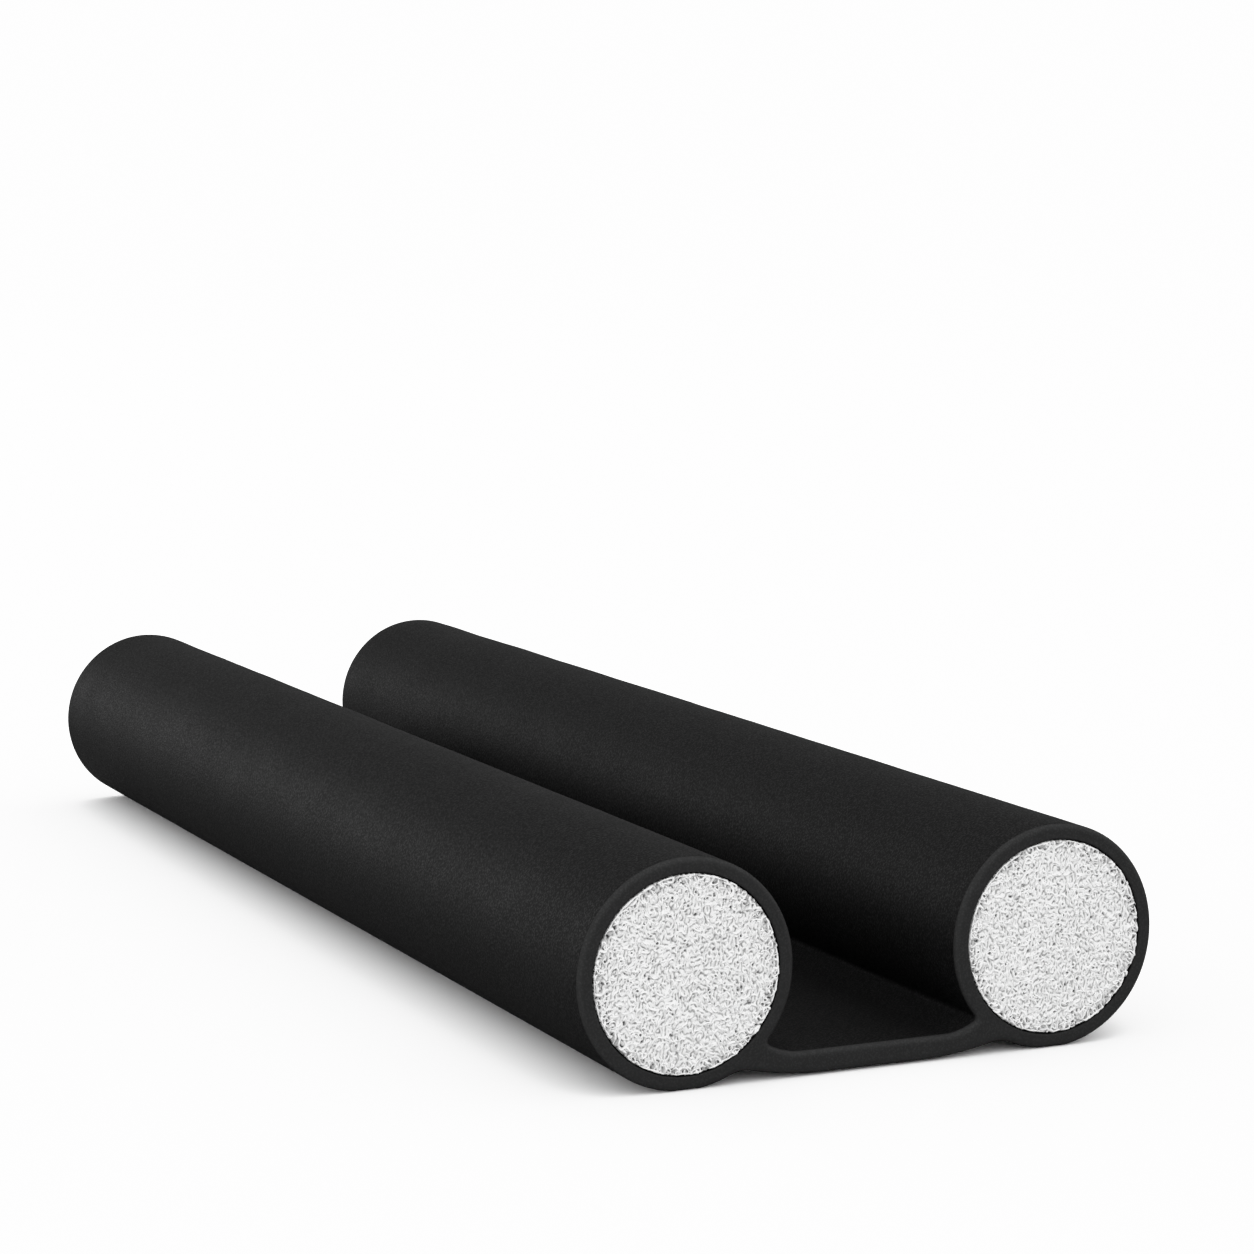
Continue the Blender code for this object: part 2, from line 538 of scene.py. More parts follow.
@dataclass
class Jacket:
    """The one-piece jacket: a sleeve round each core and the strip between the two."""

    length: float = 0.500
    bore_radius: float = 0.0278
    tube_radius: float = 0.0320
    axis_y: float = 0.057
    axis_z: float = 0.0317
    web_top: float = 0.0071
    web_lift: float = 0.0005
    rim_round: float = 0.0018
    mouth_round: float = 0.0005
    dish_start: float = 0.022
    dish_radius: float = 0.0195
    notch_radius: float = 0.0013
    arch_radius: float = 0.012
    arch_height: float = 0.0033
    belly_radius: float = 0.104
    flat_width: float = 0.44
    spacing: float = 0.0019
    skin_pitch: float = 0.002
    rim_steps: int = 7
    mouth_steps: int = 3
    bore_sides: int = 144
    bore_spans: int = 8
    cut_reach: float = 0.75
    # Exponent that narrows the painted highlight on the rounded rims.
    rim_highlight_width: float = 2.5
    ripple: float = 0.00005
    ripple_heights: Pair = (0.004, 0.016)
    broad_ripple: Waves = Waves(11, 0.060, 0.3)
    small_ripple: Waves = Waves(12, 0.019, 0.3)
    broad_share: float = 0.75
    tubes_apart: float = 0.4
    node: str = "jacket"

    def arcs(self) -> list[Arc]:
        """Lays out the +Y half of the section, from the strip's underside to its top.

        Returns:
            Six arcs, each tangent to the next but for the flat that rests on the floor.
        """
        arch_z = self.arch_height - self.arch_radius
        reach = self.tube_radius + self.arch_radius
        arch_y = self.axis_y - math.sqrt(reach**2 - (self.axis_z - arch_z) ** 2)
        belly_z = self.web_lift + self.belly_radius
        reach = self.belly_radius + self.arch_radius
        belly_y = arch_y - math.sqrt(reach**2 - (belly_z - arch_z) ** 2)
        dish_z = self.web_top + self.dish_radius
        notch_y, notch_z = self.notch_centre(dish_z)
        belly_end = math.degrees(math.atan2(arch_z - belly_z, arch_y - belly_y))
        arch_end = math.degrees(math.atan2(self.axis_z - arch_z, self.axis_y - arch_y))
        notch_start = math.degrees(math.atan2(self.axis_z - notch_z, self.axis_y - notch_y))
        notch_end = math.degrees(math.atan2(notch_z - dish_z, notch_y - self.dish_start))
        half_flat = math.degrees(math.acos(self.axis_z / self.tube_radius))
        tube = (self.axis_y, self.axis_z, self.tube_radius)
        return [
            Arc(belly_y, belly_z, self.belly_radius, -90, belly_end, False),
            Arc(arch_y, arch_z, self.arch_radius, belly_end + 180, arch_end, True),
            Arc(*tube, arch_end - 180, -90 - half_flat, False),
            Arc(*tube, half_flat - 90, notch_start + 180, False),
            Arc(notch_y, notch_z, self.notch_radius, notch_start, notch_end, True),
            Arc(self.dish_start, dish_z, self.dish_radius, notch_end, -90, True),
        ]

    def notch_centre(self, dish_z: float) -> Pair:
        """Finds the centre of the tight corner between the strip's top and the +Y tube.

        Args:
            dish_z: Height of the centre of the gentle rise beside it.

        Returns:
            Its y and z.
        """
        to_dish = self.dish_radius - self.notch_radius
        to_tube = self.tube_radius + self.notch_radius
        across = self.axis_y - self.dish_start
        up = self.axis_z - dish_z
        apart = math.hypot(across, up)
        along = (to_dish**2 - to_tube**2 + apart**2) / (2 * apart)
        aside = math.sqrt(to_dish**2 - along**2)
        y = self.dish_start + (along * across + aside * up) / apart
        z = dish_z + (along * up - aside * across) / apart
        return y, z

    def outline(self, inset: float) -> Rows:
        """Gives the whole outline, seen from +X, anticlockwise.

        Args:
            inset: How far it is moved into the material.

        Returns:
            Rows of y, z and the outward direction's y and z.
        """
        half: list[tuple[float, float, float, float]] = []
        for arc in self.arcs():
            for point in arc.points(inset, self.spacing):
                if not half or math.dist(half[-1][:2], point[:2]) > SAME_PLACE:
                    half.append(point)
        mirrored = [(-y, z, -ny, nz) for y, z, ny, nz in reversed(half)]
        flat = np.array(half + mirrored)
        flat[:, 1] = np.maximum(flat[:, 1], 0.0)
        return flat

    def bore(self, side: Side, widened: float) -> Rows:
        """Gives a sleeve's inside as rows of y and z, clockwise from +X."""
        turns = np.linspace(0.0, -TURN, self.bore_sides, endpoint=False)
        return polar(self.bore_radius + widened, turns) + (side.value * self.axis_y, self.axis_z)

    def stations(self, radius: float, steps: int, spans: int) -> list[Pair]:
        """Places the section's copies along the part.

        Args:
            radius: Rounding at both ends.
            steps: Steps in each rounding.
            spans: Lengthwise divisions between the two roundings.

        Returns:
            Pairs of x and inset, from the -X end to the +X end.
        """
        turns = [math.pi / 2 * (steps - step) / steps for step in range(steps + 1)]
        rim = [(radius * (1 - math.sin(t)), radius * (1 - math.cos(t))) for t in turns]
        inner = self.length / 2 - radius
        left = [(-self.length / 2 + away, inset) for away, inset in rim]
        middle = [(-inner + 2 * inner * span / spans, 0.0) for span in range(1, spans)]
        right = [(self.length / 2 - away, inset) for away, inset in reversed(rim)]
        return left + middle + right

    def soften(self, x: float, ring: Rows) -> Rows:
        """Moves a ring of the outer skin in and out a little, as soft cloth lies.

        Args:
            x: Where the ring is along the part.
            ring: Rows of y, z and the outward direction's y and z.

        Returns:
            The moved ring as rows of x, y and z.
        """
        around = np.arctan2(ring[:, 1] - self.axis_z, np.abs(ring[:, 0]) - self.axis_y)
        girth = around * self.tube_radius + np.sign(ring[:, 0]) * self.tubes_apart
        place = at_x(x, girth)
        broad, _ = self.broad_ripple.sample(place)
        small, _ = self.small_ripple.sample(place)
        waves = self.broad_share * broad + (1.0 - self.broad_share) * small
        move = smooth_step(ring[:, 1], *self.ripple_heights) * self.ripple * waves
        return at_x(x, ring[:, :2] + ring[:, 2:] * move[:, None])

    def build(self, cloth: Material, cut: Material) -> Piece:
        """Builds the jacket's mesh and dresses it.

        Args:
            cloth: The finish of the skin.
            cut: The finish of the cut ends.

        Returns:
            The jacket.
        """
        points: list[Rows] = []
        faces: Faces = []
        rims: list[list[tuple[int, int]]] = [[], []]
        skins = [self.skin_rings()] + [self.bore_rings(side) for side in Side]
        count = 0
        for rings in skins:
            size = len(rings[0])
            starts = range(count, count + len(rings) * size, size)
            faces += bands(starts, size)
            rims[0] += loop(starts[0], size)
            rims[1] += loop(starts[-1], size)
            points += rings
            count += len(rings) * size
        stacked = np.vstack(points)
        skin_faces = len(faces)
        for rim in rims:
            faces += self.fill_between(stacked, rim)
        jacket = new_object("jacket_sleeves", stacked, faces)
        self.mark_rim_highlight(jacket.data, np.vstack(skins[0]))
        self.dress(jacket, skin_faces, cloth, cut)
        return jacket

    def skin_rings(self) -> list[Rows]:
        """Makes the outer skin's rings, from the -X end to the +X end."""
        stations = self.stations(self.rim_round, self.rim_steps, round(self.length / self.skin_pitch))
        return [self.soften(x, self.outline(inset)) for x, inset in stations]

    def bore_rings(self, side: Side) -> list[Rows]:
        """Makes the rings of one sleeve's inside, from the -X end to the +X end."""
        stations = self.stations(self.mouth_round, self.mouth_steps, self.bore_spans)
        return [at_x(x, self.bore(side, inset)) for x, inset in stations]

    def mark_rim_highlight(self, mesh: bpy.types.Mesh, skin: Rows) -> None:
        """Writes how much painted highlight each vertex gets: 1 halfway round the outer rounding of
        the ends.

        Args:
            mesh: The jacket's mesh.
            skin: The outer skin's points, which are the mesh's first vertices.
        """
        # Painted highlight, strongest halfway round the rims' rounding.
        turned = 1.0 - (self.length / 2 - np.abs(skin[:, 0])) / self.rim_round
        beside = np.sqrt(np.clip(1.0 - turned**2, 0.0, 1.0))
        marks = np.zeros(len(mesh.vertices), np.float32)
        marks[: len(skin)] = np.clip(2.0 * turned * beside, 0.0, 1.0) ** self.rim_highlight_width
        data = mesh.attributes.new("painted_rim_highlight", "FLOAT", "POINT").data
        data.foreach_set("value", marks)

    @staticmethod
    def fill_between(points: Rows, edges: list[tuple[int, int]]) -> Faces:
        """Fills a flat end between its outer loop and the two bores.

        Args:
            points: All the vertices.
            edges: The edges of the three loops.

        Returns:
            Triangles that face away from the part's middle.
        """
        mesh = bmesh.new()
        numbers = sorted({number for edge in edges for number in edge})
        made = {number: mesh.verts.new(points[number]) for number in numbers}
        back = {vertex: number for number, vertex in made.items()}
        rim = [mesh.edges.new((made[a], made[b])) for a, b in edges]
        filled = bmesh.ops.triangle_fill(mesh, edges=rim, use_beauty=True)
        outward = 1.0 if points[numbers[0]][0] > 0 else -1.0
        triangles = []
        for face in filled["geom"]:
            if isinstance(face, bmesh.types.BMFace):
                face.normal_update()
                corners = [back[vertex] for vertex in face.verts]
                triangles.append(tuple(corners if face.normal.x * outward > 0 else corners[::-1]))
        mesh.free()
        return triangles

    def dress(self, jacket: Piece, skin_faces: int, cloth: Material, cut: Material) -> None:
        """Gives the jacket its finishes and attaches it to the body.

        Args:
            jacket: The jacket.
            skin_faces: How many of its first faces are skin, before the cut ends.
            cloth: The finish of the skin.
            cut: The finish of the cut ends.
        """
        jacket.data.materials.append(cloth)
        jacket.data.materials.append(cut)
        edge = self.length / 2 - self.rim_round * self.cut_reach
        for number, face in enumerate(jacket.data.polygons):
            if number >= skin_faces:
                face.use_smooth = False
            if number >= skin_faces or abs(face.center.x) > edge:
                face.material_index = 1
        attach(jacket, BODY)
        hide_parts(self.node)


# The foam's cells are taller than they are wide, as it rose that way.
CELL_STRETCH = np.array([1.08, 0.80])
STRAND_REACH = 1.2
LEAST_SLOPE = 1e-6
LIFT_SEED = 50
FAR_BELOW = 9.0


@dataclass(frozen=True)
class StrandLayer:
    """One layer of the foam's curved strands, in millimetres."""

    mark: str
    seed: int
    spacing: float
    half_width: float
    crest: float
    lift: float
    lift_length: float
    sunk: float
    rim_lift: float
    side_by_side: bool = False

    def read(self, points: Rows, seed: int, rim: Rows) -> Rows:
        """Lays the strands along the lines where a random field is 0.

        Strands that lie side by side have those lines as the seams between them instead.

        Args:
            points: Rows of two coordinates on the face.
            seed: The face's own seed.
            rim: Nearness of each point to the face's rim, from 0 to 1.

        Returns:
            Rows of the distance to the nearest line and the strand's lift there.
        """
        value, slope = Waves(seed + self.seed, 2.0 * self.spacing).sample(points * CELL_STRETCH)
        away = np.clip(value / np.maximum(slope, LEAST_SLOPE), -STRAND_REACH, STRAND_REACH)
        wander = Waves(seed + self.seed + LIFT_SEED, self.lift_length).sample(points)[0]
        lift = self.lift * (1.0 + 0.5 * rim) * wander - self.sunk + self.rim_lift * rim
        return np.column_stack((away, lift))

    def top(self, marks: Rows) -> Rows:
        """Gives the strands' upper side.

        Args:
            marks: Rows of the distance to the nearest line and the strand's lift there.

        Returns:
            The heights, which are far below between the strands.
        """
        share = np.minimum(np.abs(marks[:, 0]) / self.half_width, 1.0)
        if self.side_by_side:
            profile = np.sqrt(1.0 - (1.0 - share) ** 2)
            return marks[:, 1] * (1.0 - profile) + self.crest * profile
        profile = self.crest * np.sqrt(1.0 - share**2)
        return np.where(share < 1.0, marks[:, 1] + profile, -FAR_BELOW)


STRANDS = (
    StrandLayer("strands_low", 1, 1.05, 0.50, 0.02, 0.44, 1.3, 0.56, -0.40, True),
    StrandLayer("strands_middle", 2, 1.40, 0.36, 0.24, 0.16, 2.6, 0.24, -0.06),
    StrandLayer("strands_high", 3, 1.80, 0.36, 0.24, 0.20, 2.8, 0.26, 0.16),
    StrandLayer("strands_loop", 4, 2.20, 0.36, 0.26, 0.20, 3.0, 0.30, 0.50),
)


@dataclass(frozen=True)
class Relief:
    """What a cut face's relief is at some points, in millimetres."""

    height: Rows
    floor: Rows
    fall: Rows
    strands: list[Rows]


@dataclass(frozen=True)
class CutFace:
    """The cut end of a foam core: curved strands that cross and dive, in millimetres."""

    radius: float
    seed: int
    floor: float = -0.30
    floor_ripple: float = 0.08
    floor_length: float = 2.2
    rim_floor: float = -0.52
    rim_width: float = 4.5
    rim_end: float = 0.6
    rim_fall: float = 0.30
    edge_width: float = 0.3
    edge_fall: float = 0.6
    pits: int = 120
    pit_depth: float = 0.75
    pit_radii: Pair = (0.30, 0.52)
    pit_bottom: float = 0.3
    pit_margin: float = 0.8
    pit_crowding: float = 0.42
    pit_seed: int = 7

    def pit_places(self) -> tuple[Rows, Rows]:
        """Scatters the small pits between the strands, where the finish paints shade.

        Returns:
            Rows of two coordinates, and each pit's radius.
        """
        rng = np.random.default_rng(self.seed + self.pit_seed)
        share = rng.uniform(0.0, 1.0, self.pits)
        turn = rng.uniform(0.0, TURN, self.pits)
        places = polar((self.radius - self.pit_margin) * share**self.pit_crowding, turn)
        return places, rng.uniform(*self.pit_radii, self.pits)

    def read(self, points: Rows) -> Relief:
        """Reads the foam's relief above the core's end.

        Args:
            points: Rows of two coordinates on the face, from its middle.

        Returns:
            Its height, the floor below the strands, the fall at the edge and the strands.
        """
        far = np.hypot(points[:, 0], points[:, 1])
        rim = smooth_step(far, self.radius - self.rim_width, self.radius - self.rim_end)
        # The fall sinks the relief at the edge, near the rim and in the pits, and the finish darkens
        # it there as painted shade.
        fall = smooth_step(far, self.radius - self.edge_width, self.radius) * self.edge_fall
        fall += self.rim_fall * rim**2
        places, sizes = self.pit_places()
        apart = np.linalg.norm(points[:, None, :] - places[None], axis=2) / sizes
        fall += self.pit_depth * smooth_step(apart.min(axis=1), 1.0, self.pit_bottom)
        ripple, _ = Waves(self.seed, self.floor_length).sample(points)
        floor = self.floor + self.rim_floor * rim + self.floor_ripple * ripple
        height = floor
        strands = [layer.read(points, self.seed, rim) for layer in STRANDS]
        for layer, marks in zip(STRANDS, strands):
            height = np.maximum(height, layer.top(marks))
        return Relief(height - fall, floor, fall, strands)


@dataclass
class FoamCore:
    """One round foam core, with both its cut ends carved."""

    side: Side
    node: str
    radius: float = 0.0275
    length: float = 0.4992
    axis_y: float = 0.057
    axis_z: float = 0.0317
    rings: int = 116
    edge_drop: float = 0.0020
    spans: int = 8
    sectors: int = 6
    seeds: tuple[int, int, int] = (1000, 400, 150)
    # Painted shade: these sink the core's side deep, so that the finish paints it near black.
    wall_floor: float = -0.8
    wall_fall: float = 2.0

    def face(self, end: End) -> CutFace:
        """Gives the relief of one of the ends."""
        return CutFace(self.radius / MILLIMETRE, seed_of(self.seeds, self.side, end))

    def lattice(self) -> tuple[Rows, list[tuple[int, int, int]]]:
        """Makes an even triangle lattice of a disc, ring by ring.

        Returns:
            Rows of two coordinates in millimetres, and the triangles between them.
        """
        step = self.radius / MILLIMETRE / self.rings
        points = [(0.0, 0.0)]
        starts = [0]
        for ring in range(1, self.rings + 1):
            starts.append(len(points))
            turns = np.arange(self.sectors * ring) * (TURN / (self.sectors * ring))
            points += polar(ring * step, turns).tolist()
        triangles = []
        for ring in range(self.rings):
            inner, outer = starts[ring], starts[ring + 1]
            around_in, around_out = max(1, self.sectors * ring), self.sectors * (ring + 1)
            for sector in range(self.sectors):
                for i in range(ring + 1):
                    low = inner + (sector * ring + i) % around_in
                    high = outer + sector * (ring + 1) + i
                    high_after = outer + (sector * (ring + 1) + i + 1) % around_out
                    triangles.append((low, high, high_after))
                    if i < ring:
                        low_after = inner + (sector * ring + i + 1) % around_in
                        triangles.append((low, high_after, low_after))
        return np.array(points), triangles

    def place(self, end: End, flat: Rows, height: Rows) -> Rows:
        """Turns millimetres on a cut face into points of the scene.

        Args:
            end: Which end.
            flat: Rows of two coordinates on the face, the first along Y.
            height: Height of each above the end, outwards.

        Returns:
            Rows of x, y and z in metres.
        """
        x = end.value * (self.length / 2 + height * MILLIMETRE)
        y = self.side.value * self.axis_y + flat[:, 0] * MILLIMETRE
        return np.column_stack((x, y, self.axis_z + flat[:, 1] * MILLIMETRE))

    def build(self, foam: Material) -> Piece:
        """Builds the core's mesh and dresses it.

        Args:
            foam: Its finish.

        Returns:
            The core.
        """
        flat, triangles = self.lattice()
        points: list[Rows] = []
        reliefs: list[Relief] = []
        faces: Faces = []
        rims = []
        count = 0
        for end in End:
            relief = self.face(end).read(flat)
            points.append(self.place(end, flat, relief.height))
            reliefs.append(relief)
            order = 1 if end is End.NEAR else -1
            faces += [tuple(count + i for i in triangle[::order]) for triangle in triangles]
            rims.append(count + len(flat) - self.sectors * self.rings)
            count += len(flat)
        wall, wall_faces = self.wall(rims, count)
        points.append(wall)
        faces += wall_faces
        core = new_object(f"foam_{self.side.name.lower()}", np.vstack(points), faces)
        self.mark(core.data, reliefs)
        core.data.materials.append(foam)
        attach(core, BODY)
        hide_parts(self.node)
        return core

    def mark(self, mesh: bpy.types.Mesh, reliefs: list[Relief]) -> None:
        """Writes what the foam's finish reads into the mesh.

        Args:
            mesh: The core's mesh, whose first vertices are the two ends' faces.
            reliefs: The relief of each end, in their order.
        """
        total = len(mesh.vertices)
        floor = np.full(total, self.wall_floor, np.float32)
        fall = np.full(total, self.wall_fall, np.float32)
        faces = sum(len(relief.floor) for relief in reliefs)
        floor[:faces] = np.concatenate([relief.floor for relief in reliefs])
        fall[:faces] = np.concatenate([relief.fall for relief in reliefs])
        for name, values in (("floor", floor), ("edge_fall", fall)):
            mesh.attributes.new(name, "FLOAT", "POINT").data.foreach_set("value", values)
        for number, layer in enumerate(STRANDS):
            rows = np.zeros((total, 3), np.float32)
            rows[:faces, :2] = np.vstack([relief.strands[number] for relief in reliefs])
            data = mesh.attributes.new(layer.mark, "FLOAT_VECTOR", "POINT").data
            data.foreach_set("vector", rows.ravel())

    def wall(self, rims: list[int], first: int) -> tuple[Rows, Faces]:
        """Makes the round side between the two carved ends.

        Args:
            rims: Number of the first vertex of each end's outermost ring.
            first: Number that the wall's first vertex gets.

        Returns:
            The wall's points and its faces.
        """
        around = self.sectors * self.rings
        turns = np.arange(around) * (TURN / around)
        circle = polar(self.radius, turns) + (self.side.value * self.axis_y, self.axis_z)
        inner = self.length / 2 - self.edge_drop
        rings = [at_x(x, circle) for x in np.linspace(-inner, inner, self.spans + 1)]
        starts = [rims[0]] + [first + around * i for i in range(self.spans + 1)] + [rims[1]]
        return np.vstack(rings), bands(starts, around)


class Lie(Enum):
    """Where the curls of one kind lie on a cut face."""

    ROUND_PITS = "round_pits"
    ANYWHERE = "anywhere"
    NEAR_RIM = "near_rim"
    ALONG_RIM = "along_rim"


@dataclass(frozen=True)
class CurlKind:
    """One kind of loose curl: how many, and the ranges of its sizes in mm and radians."""

    lie: Lie
    count: int
    length: Pair
    bend: Pair
    thickness: Pair
    margin: float = 0.0
    spread: float = 0.0
    crowding: float = 1.0
    twist: float = 0.7
    clearance: float = 0.25

    def places(self, face: CutFace, rng: np.random.Generator) -> tuple[Rows, Rows]:
        """Scatters the curls' middles over a face.

        Args:
            face: The cut face.
            rng: The face's random numbers.

        Returns:
            Rows of two coordinates, and each curl's heading.
        """
        turn = rng.uniform(0.0, TURN, self.count)
        heading = rng.uniform(0.0, TURN, self.count)
        share = rng.uniform(0.0, 1.0, self.count)
        if self.lie is Lie.ROUND_PITS:
            return face.pit_places()[0][: self.count], heading
        far = face.radius - self.margin - self.spread * share**self.crowding
        if self.lie is Lie.ANYWHERE:
            far = (face.radius - self.margin) * np.sqrt(share)
        if self.lie is Lie.ALONG_RIM:
            heading = turn + math.pi / 2
        return polar(far, turn), heading

    def lines(self, face: CutFace, rng: np.random.Generator, beads: int) -> Rows:
        """Lays out the curls' centre lines flat on a face.

        Args:
            face: The cut face.
            rng: The face's random numbers.
            beads: Points along each curl.

        Returns:
            Points as curl, bead and two coordinates.
        """
        middle, heading = self.places(face, rng)
        length = rng.uniform(*self.length, self.count)
        bend = rng.choice([-1.0, 1.0], self.count) * rng.uniform(*self.bend, self.count)
        twist = rng.normal(0.0, self.twist, self.count)
        if self.lie is Lie.ALONG_RIM:
            bend = length / face.radius
        along = np.linspace(-0.5, 0.5, beads)
        angles = heading[:, None] + bend[:, None] * along + twist[:, None] * (along**2 * 4 - 0.5)
        step = length[:, None] / (beads - 1)
        steps = np.stack((np.cos(angles) * step, np.sin(angles) * step), axis=2)
        flat = np.cumsum(steps, axis=1)
        flat += middle[:, None, :] - flat.mean(axis=1, keepdims=True)
        reach = np.linalg.norm(flat, axis=2, keepdims=True)
        return flat * np.minimum(1.0, (face.radius - self.clearance) / reach)


CURLS = (
    CurlKind(Lie.ROUND_PITS, 60, (2.4, 3.4), (4.4, 5.6), (0.15, 0.24)),
    CurlKind(Lie.ANYWHERE, 190, (1.3, 3.2), (0.4, 3.4), (0.15, 0.24), margin=1.5),
    CurlKind(
        Lie.NEAR_RIM, 110, (1.5, 5.0), (1.4, 4.4), (0.17, 0.26), margin=0.6, spread=3.0, crowding=1.5
    ),
    CurlKind(
        Lie.ALONG_RIM, 55, (2.0, 5.5), (0.0, 0.0), (0.16, 0.24), margin=0.3, spread=0.25, twist=0.14
    ),
)


@dataclass
class Fibres:
    """Loose curls of foam that lie on a core's two cut ends, in millimetres."""

    core: FoamCore
    beads: int = 9
    sides: int = 5
    bow: Pair = (0.05, 0.3)
    sunk: float = 0.12
    follow: float = 0.6
    taper: float = 0.8
    seeds: tuple[int, int, int] = (70, 10, 1)

    def curls(self, end: End) -> tuple[Rows, Rows]:
        """Lays out the curls of one end.

        Args:
            end: Which end.

        Returns:
            Their centre lines, as curl, bead and three coordinates, and each curl's radius.
        """
        rng = np.random.default_rng(seed_of(self.seeds, self.core.side, end))
        face = self.core.face(end)
        flat = np.concatenate([kind.lines(face, rng, self.beads) for kind in CURLS])
        radii = np.concatenate([rng.uniform(*kind.thickness, kind.count) for kind in CURLS])
        ground = face.read(flat.reshape(-1, 2)).height.reshape(len(flat), self.beads)
        ground = np.maximum(ground, ground.mean(axis=1, keepdims=True))
        arch = np.cos(np.linspace(-0.5, 0.5, self.beads) * math.pi)
        bow = rng.uniform(*self.bow, len(flat))[:, None] * arch - self.sunk
        height = (ground * self.follow + bow)[:, :, None]
        return np.concatenate((flat, height), axis=2), radii

    def tubes(self, lines: Rows, radii: Rows) -> Rows:
        """Puts a round section at each bead of each curl.

        Args:
            lines: Centre lines, as curl, bead and coordinate.
            radii: Each curl's radius.

        Returns:
            Points as curl, bead, side and coordinate.
        """
        ahead = np.gradient(lines, axis=1)
        ahead /= np.linalg.norm(ahead, axis=2, keepdims=True)
        aside = np.cross(ahead, [0.0, 0.0, 1.0])
        aside /= np.linalg.norm(aside, axis=2, keepdims=True)
        above = np.cross(aside, ahead)
        along = np.linspace(-1.0, 1.0, self.beads)
        taper = np.sqrt(1.0 - self.taper * along**4)[None, :, None, None]
        turns = np.arange(self.sides) * (TURN / self.sides)
        ring = (
            aside[:, :, None, :] * np.cos(turns)[None, None, :, None]
            + above[:, :, None, :] * np.sin(turns)[None, None, :, None]
        )
        return lines[:, :, None, :] + ring * radii[:, None, None, None] * taper

    def build(self, foam: Material) -> Piece:
        """Builds the curls of both ends as one piece and dresses it.

        Args:
            foam: Its finish.

        Returns:
            The piece.
        """
        points: list[Rows] = []
        faces: Faces = []
        per_curl = self.beads * self.sides
        for end in End:
            tubes = self.tubes(*self.curls(end)).reshape(-1, 3)
            first = sum(len(rows) for rows in points)
            points.append(self.core.place(end, tubes[:, :2], tubes[:, 2]))
            order = -end.value
            for curl in range(first, first + len(tubes), per_curl):
                faces += [face[::order] for face in self.curl_faces(curl)]
        piece = new_object(f"curls_{self.core.side.name.lower()}", np.vstack(points), faces)
        piece.data.materials.append(foam)
        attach(piece, BODY)
        return piece

    def curl_faces(self, first: int) -> Faces:
        """Makes the faces of one curl.

        Args:
            first: Number of its first vertex.

        Returns:
            Its two tips and the bands between its beads.
        """
        starts = range(first, first + self.beads * self.sides, self.sides)
        first_tip = tuple(reversed(range(first, first + self.sides)))
        last_tip = tuple(range(starts[-1], starts[-1] + self.sides))
        return [first_tip, *bands(starts, self.sides), last_tip]


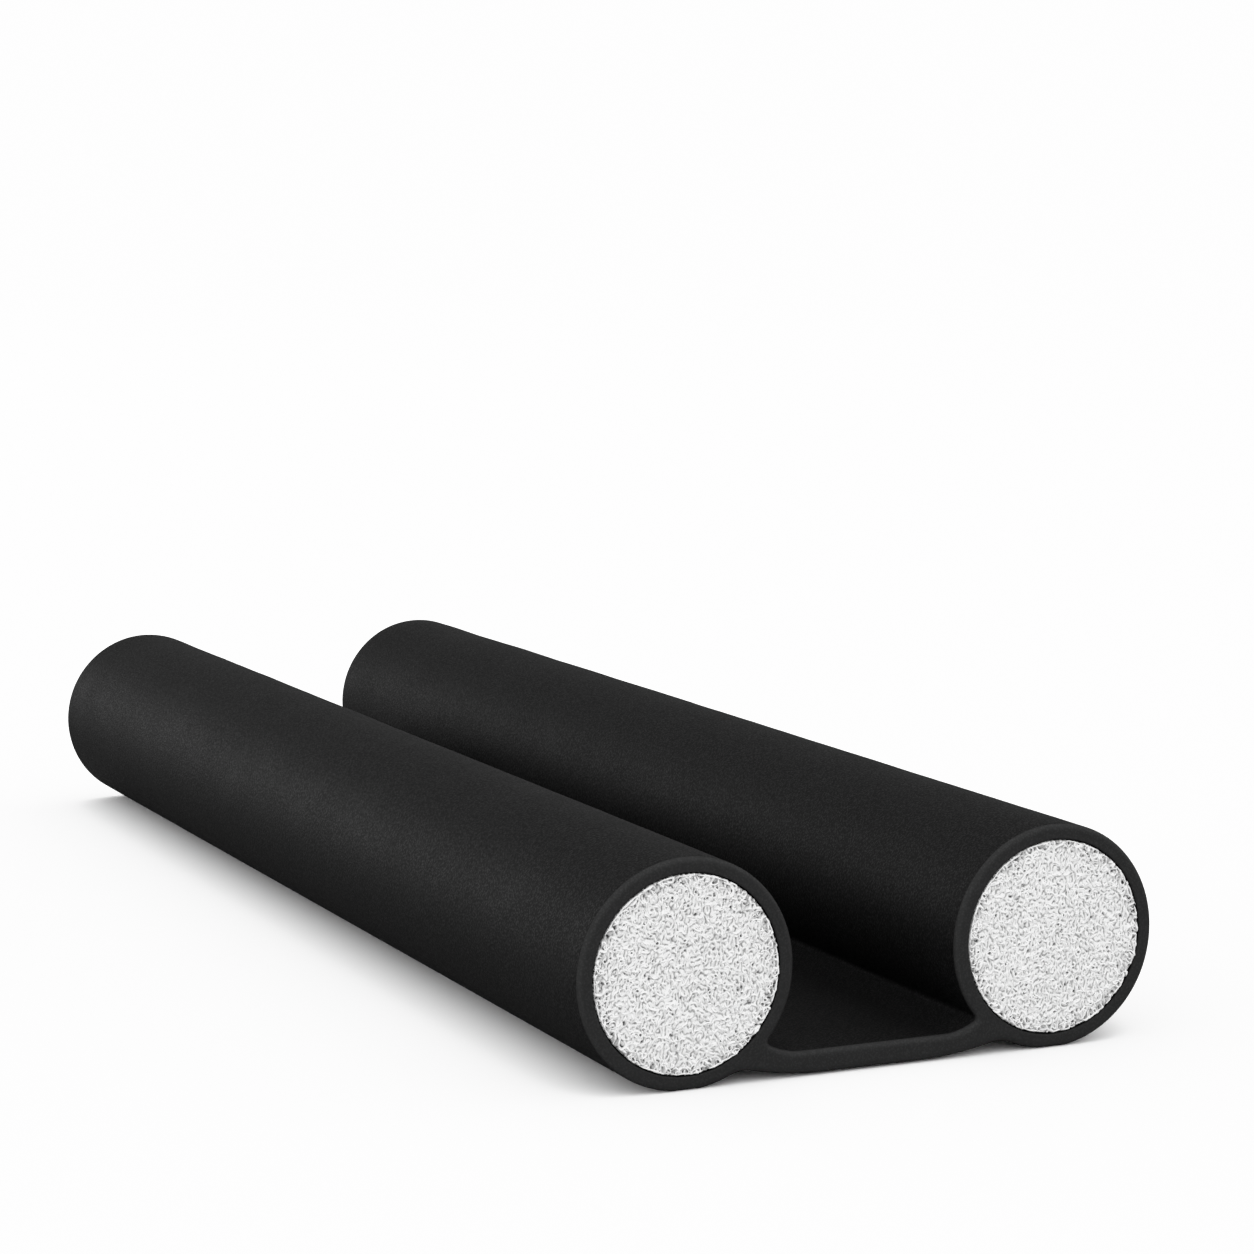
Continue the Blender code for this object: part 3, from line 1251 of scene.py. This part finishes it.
@dataclass
class Studio:
    """The pale floor, the surroundings, one soft light and the camera."""

    camera_place: Triple = (1.0735, -0.4493, 0.2433)
    camera_aim: Triple = (-0.9028, 0.4105, -0.1282)
    lens: float = 100.2
    sensor_width: float = 36.0
    clip: Pair = (0.01, 100.0)
    light_place: Triple = (-4.21, -2.32, 0.88)
    light_target: Triple = (0.05, -0.05, 0.03)
    light_size: Pair = (1.75, 1.0)
    light_watts: float = 30.0
    floor_half: float = 14.0
    floor_roughness: float = 0.9
    floor_white: float = 1.0
    floor_bounce: float = 0.4
    floor_in_gloss: float = 0.15
    surround: float = 1.55
    surround_in_gloss: float = 0.39
    roll_off: tuple[Pair, ...] = (
        (0.85, 0.85),
        (0.92, 0.895),
        (1.0, 0.922),
        (1.2, 0.955),
        (1.6, 0.99),
    )

    def build_camera(self) -> None:
        """Sets up the camera at the photograph's viewing angle."""
        data = bpy.data.cameras.new("camera")
        data.lens = self.lens
        data.sensor_width = self.sensor_width
        data.clip_start, data.clip_end = self.clip
        camera = add_object("camera", data)
        camera.location = self.camera_place
        camera.rotation_euler = Vector(self.camera_aim).to_track_quat("-Z", "Y").to_euler()
        bpy.context.scene.camera = camera

    def build_light(self) -> None:
        """Hangs the light that draws the bright band along the front tube."""
        data = bpy.data.lights.new("band_light", "AREA")
        data.shape = "RECTANGLE"
        data.size, data.size_y = self.light_size
        data.energy = self.light_watts
        light = add_object("band_light", data)
        light.location = self.light_place
        aim = Vector(self.light_target) - Vector(self.light_place)
        light.rotation_euler = aim.to_track_quat("-Z", "Y").to_euler()
        light.visible_camera = False

    @staticmethod
    def by_ray(tree: ShaderTree, plain: float, seen: float, mirrored: float) -> Socket:
        """Picks a value by the kind of light ray that asks for it.

        Args:
            tree: The tree to add to.
            plain: The value as a light on other surfaces.
            seen: The value that the camera sees.
            mirrored: The value in reflections.

        Returns:
            The value's socket.
        """
        path = tree.add("ShaderNodeLightPath")
        to_camera = tree.sum_up("MULTIPLY", path.outputs["Is Camera Ray"], seen - plain)
        to_gloss = tree.sum_up("MULTIPLY", path.outputs["Is Glossy Ray"], mirrored - plain)
        return tree.sum_up("ADD", tree.sum_up("ADD", to_camera, to_gloss), plain)

    def build_floor(self) -> None:
        """Lays the pale floor."""
        h = self.floor_half
        corners = np.array([(-h, -h, 0.0), (h, -h, 0.0), (h, h, 0.0), (-h, h, 0.0)])
        floor = new_object("studio_floor", corners, [(0, 1, 2, 3)])
        material = bpy.data.materials.new("floor_paper")
        material.use_nodes = True
        tree = ShaderTree(material.node_tree)
        surface = tree.nodes["Principled BSDF"]
        surface.inputs["Roughness"].default_value = self.floor_roughness
        surface.inputs["Specular IOR Level"].default_value = 0.0
        tone = self.by_ray(tree, self.floor_bounce, self.floor_white, self.floor_in_gloss)
        tree.feed(surface.inputs["Base Color"], tone)
        floor.data.materials.append(material)

    def build_surround(self) -> None:
        """Makes the surroundings white to the camera and softer as a light."""
        world = bpy.data.worlds.new("studio")
        world.use_nodes = True
        tree = ShaderTree(world.node_tree)
        background = tree.nodes["Background"]
        background.inputs["Color"].default_value = (1.0, 1.0, 1.0, 1.0)
        strength = self.by_ray(tree, self.surround, self.surround, self.surround_in_gloss)
        tree.feed(background.inputs["Strength"], strength)
        bpy.context.scene.world = world

    def set_tones(self) -> None:
        """Rolls off the brightest tones as a camera does, so that pale shadows show."""
        view = bpy.context.scene.view_settings
        view.view_transform = "Standard"
        view.use_curve_mapping = True
        brightest, last = self.roll_off[-1]
        view.curve_mapping.white_level = (brightest, brightest, brightest)
        # The fourth curve acts on all three colours at once.
        curve = view.curve_mapping.curves[3]
        for light, shown in self.roll_off[:-1]:
            curve.points.new(light / brightest, shown)
        curve.points[-1].location = (1.0, last)
        for point in curve.points[:2]:
            point.handle_type = "VECTOR"
        view.curve_mapping.update()

    def build(self) -> None:
        """Sets up everything round the object."""
        self.set_tones()
        self.build_camera()
        self.build_floor()
        self.build_surround()
        self.build_light()


JACKET_CLOTH = Finish(
    name="jacket_cloth",
    colour=(0.0124, 0.0125, 0.0127),
    roughness=0.52,
    specular=0.106,
    grain_size=0.66,
    grain_depth=0.18,
    mottle_size=24.0,
    mottle_strength=0.12,
    hollow_shade=0.6,
    hollow_dullness=0.14,
    # Strength of the painted highlight on the rounded rims.
    painted_rim_highlight=0.24,
)
CUT_EDGE = Finish(
    name="jacket_cut_edge",
    colour=(0.0258, 0.0260, 0.0262),
    roughness=0.645,
    specular=0.135,
    grain_size=0.6,
    grain_depth=0.06,
    mottle_size=5.0,
    mottle_strength=0.1,
    hollow_shade=0.28,
    hollow_dullness=0.05,
    # Strength of the painted highlight on the rounded rims.
    painted_rim_highlight=0.3,
)
WHITE_FOAM = FoamFinish(
    name="white_foam",
    colour=(0.92, 0.92, 0.92),
    roughness=0.7,
    specular=0.29,
    grain_size=0.25,
    grain_depth=0.012,
    mottle_size=3.5,
    mottle_strength=0.05,
    hollow_shade=0.08,
    hollow_dullness=0.04,
)


def main() -> None:
    """Builds the studio and the part, and reports each piece."""
    logging.basicConfig(level=logging.INFO, format="%(message)s")
    Studio().build()
    effects = SharedEffects()
    cloth = JACKET_CLOTH.build(effects)
    cut = CUT_EDGE.build(effects)
    foam = WHITE_FOAM.build(effects)
    made = [Jacket().build(cloth, cut)]
    for side in Side:
        core = FoamCore(side, f"core_{side.name.lower()}")
        made.append(core.build(foam))
        made.append(Fibres(core).build(foam))
    for piece in made:
        piece.data.calc_loop_triangles()
        log.info("%s: %d triangles", piece.name, len(piece.data.loop_triangles))


if __name__ == "__main__":
    main()
